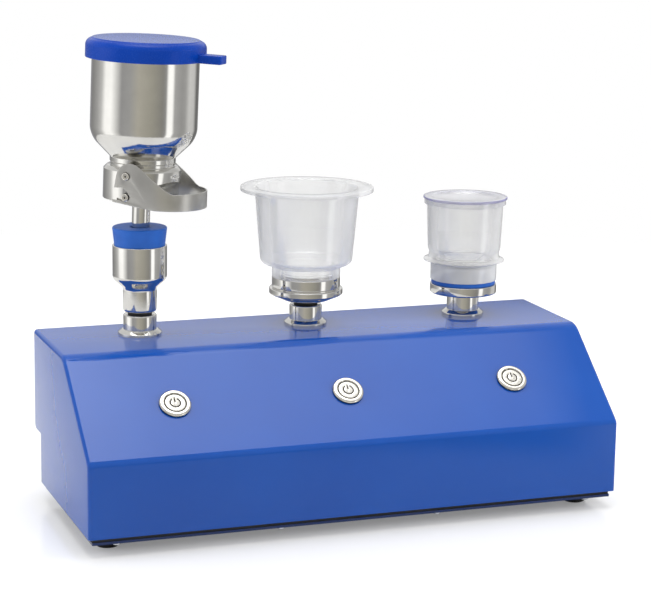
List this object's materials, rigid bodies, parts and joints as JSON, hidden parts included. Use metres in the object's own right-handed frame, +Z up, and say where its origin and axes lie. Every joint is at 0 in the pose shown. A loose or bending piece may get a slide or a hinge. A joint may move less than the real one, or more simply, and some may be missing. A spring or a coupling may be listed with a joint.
{
  "type": "vacuum filtration unit",
  "caption": "Bench vacuum filtration unit: sloping sheet-metal housing with push-buttons and a row of posts for a lidded steel funnel, a plastic funnel and a cup.",
  "frame": {"origin": "on the bench, under the middle of the whole unit", "axes": "+X along the housing to the right as seen from the front, +Y from the front to the back, +Z up"},
  "size_m": [0.42, 0.1876, 0.3609],
  "materials": {
    "paint": "glossy blue powder coat",
    "polished_steel": "polished stainless steel",
    "satin_steel": "satin stainless steel",
    "zinc": "zinc-plated steel",
    "black_rubber": "matte black rubber",
    "blue_rubber": "matte blue rubber",
    "silicone": "satin blue silicone",
    "silicone_clear": "translucent silicone",
    "frosted_plastic": "frosted translucent plastic",
    "clear_plastic": "clear plastic",
    "membrane": "matte white membrane",
    "black_plastic": "matte black plastic",
    "board": "green laminate"
  },
  "bodies": {
    "unit": {"housing": "paint", "base_plate": "paint", "base_strip": "black_rubber", "base_screws": "zinc", "foot_1": "black_rubber", "foot_2": "black_rubber", "foot_3": "black_rubber", "foot_4": "black_rubber", "foot_screws": "zinc", "post_1": "polished_steel", "post_2": "polished_steel", "post_3": "polished_steel", "collar_1": "polished_steel", "collar_2": "polished_steel", "collar_3": "polished_steel", "post_nuts": "zinc", "post_seals": "black_rubber", "holder_cup": "polished_steel", "stopper": "blue_rubber", "filter_base": "polished_steel", "support_disc_1": "satin_steel", "membrane_1": "membrane", "funnel_gasket": "silicone_clear", "locking_ring": "polished_steel", "pivot_pins": "polished_steel", "lock_pins": "polished_steel", "steel_funnel": "satin_steel", "funnel_lid": "silicone", "head_2": "polished_steel", "support_disc_2": "satin_steel", "membrane_2": "membrane", "plastic_funnel": "frosted_plastic", "head_3": "polished_steel", "head_seal": "blue_rubber", "cup_base": "clear_plastic", "support_pad": "membrane", "membrane_3": "membrane", "sample_cup": "frosted_plastic", "cup_lid": "clear_plastic", "button_body_1": "polished_steel", "button_body_2": "polished_steel", "button_body_3": "polished_steel", "button_seals": "black_rubber", "button_nuts": "zinc", "contact_blocks": "black_plastic", "pump_heads": "black_plastic", "pump_motors": "zinc", "suction_hoses": "silicone_clear", "outlet_hoses": "silicone_clear", "drain_pipe": "satin_steel", "drain_outlet": "polished_steel", "power_inlet": "black_plastic", "control_board": "board", "board_pillars": "zinc", "wiring": "black_plastic"},
    "lever": {"lever": "satin_steel"},
    "button_1": {"button_cap_1": "satin_steel"},
    "button_2": {"button_cap_2": "satin_steel"},
    "button_3": {"button_cap_3": "satin_steel"}
  },
  "joints": [
    {"name": "lever_hinge", "type": "hinge", "parent": "unit", "child": "lever", "pos_m": [-0.13333, 0.04085, 0.25836], "axis": [-0.6237, -0.7816, 0.0106], "range_deg": [0, 40]},
    {"name": "button_press_1", "type": "slide", "parent": "unit", "child": "button_1", "axis": [0, 0.6262, -0.7797], "range_m": [0, 0.0025], "stiffness_N_per_m": 300, "springref_m": -0.003},
    {"name": "button_press_2", "type": "slide", "parent": "unit", "child": "button_2", "axis": [0, 0.6262, -0.7797], "range_m": [0, 0.0025], "stiffness_N_per_m": 300, "springref_m": -0.003},
    {"name": "button_press_3", "type": "slide", "parent": "unit", "child": "button_3", "axis": [0, 0.6262, -0.7797], "range_m": [0, 0.0025], "stiffness_N_per_m": 300, "springref_m": -0.003}
  ]
}
